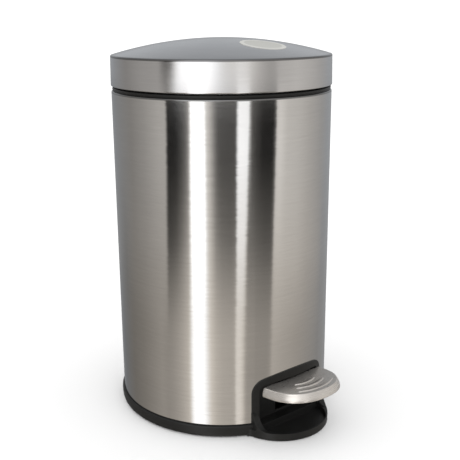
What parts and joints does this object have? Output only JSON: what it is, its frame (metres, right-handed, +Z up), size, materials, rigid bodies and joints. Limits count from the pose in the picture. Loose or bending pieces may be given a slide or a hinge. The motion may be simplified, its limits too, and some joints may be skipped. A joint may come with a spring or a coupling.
{
  "type": "pedal trash can",
  "caption": "Round step-on trash can: brushed steel shell, domed lid raised by a pedal, lever and push rod, and a lift-out inner bucket with a bail.",
  "frame": {"origin": "on the can's vertical axis, at the floor that its feet stand on", "axes": "+Z up along the can's axis, -Y towards the pedal, +X to the right of someone behind the can looking at its hinge"},
  "size_m": [0.2088, 0.2634, 0.3534],
  "materials": {
    "brushed_steel": "stainless sheet with a fine brushing that runs round the can",
    "satin_steel": "stainless sheet with a finer satin brushing",
    "tread_steel": "pressed stainless tread with raised ribs, satin",
    "black_plastic": "moulded black plastic with a fine matt texture",
    "grey_plastic": "moulded dark grey plastic",
    "bucket_plastic": "moulded dark plastic, slightly shiny",
    "black_rubber": "matt black rubber",
    "plain_label": "blank round paper sticker",
    "zinc_steel": "zinc-plated steel"
  },
  "bodies": {
    "bin": {"outer_shell": "brushed_steel", "base_moulding": "black_plastic", "foot_ring": "black_rubber", "toe_pad": "black_rubber", "top_collar": "black_plastic", "hinge_bracket": "black_plastic", "bracket_screws": "zinc_steel", "hinge_pin": "zinc_steel", "hinge_pin_clips": "zinc_steel", "rod_guides": "grey_plastic", "damper_cylinder": "grey_plastic", "lever_bumper": "black_rubber", "pedal_axle": "zinc_steel", "axle_clips": "zinc_steel"},
    "lid": {"lid_shell": "satin_steel", "lid_liner": "black_plastic", "lid_bumpers": "black_rubber", "lid_label": "plain_label", "lid_hinge_arm": "grey_plastic", "lid_screws": "zinc_steel", "crank_pin": "zinc_steel"},
    "rod": {"push_rod": "zinc_steel", "damper_piston": "zinc_steel", "damper_link": "zinc_steel"},
    "pedal": {"pedal_lever": "zinc_steel", "pedal_pad": "black_plastic", "pedal_cap": "tread_steel", "pedal_screws": "zinc_steel", "lever_rod_pin": "zinc_steel"},
    "bucket": {"inner_bucket": "bucket_plastic"},
    "bail": {"bucket_bail": "zinc_steel"}
  },
  "joints": [
    {"name": "lid_hinge", "type": "hinge", "parent": "bin", "child": "lid", "pos_m": [0, 0.1105, 0.3181], "axis": [-1, 0, 0], "range_deg": [0, 80]},
    {"name": "pedal_pivot", "type": "hinge", "parent": "bin", "child": "pedal", "pos_m": [0, -0.015, 0.026], "axis": [1, 0, 0], "range_deg": [0, 11]},
    {"name": "rod_lift", "type": "slide", "parent": "bin", "child": "rod", "axis": [0, 0, 1], "range_m": [0, 0.0208]},
    {"name": "bucket_lift", "type": "slide", "parent": "bin", "child": "bucket", "axis": [0, 0, 1], "range_m": [0, 0.008]},
    {"name": "bail_hinge", "type": "hinge", "parent": "bucket", "child": "bail", "pos_m": [0, 0, 0.3102], "axis": [-1, 0, 0], "range_deg": [0, 10]}
  ],
  "couplings": [
    {"joint": "pedal_pivot", "follows": "lid_hinge", "ratio": 0.1325},
    {"joint": "rod_lift", "follows": "lid_hinge", "m_per_rad": 0.01461}
  ]
}
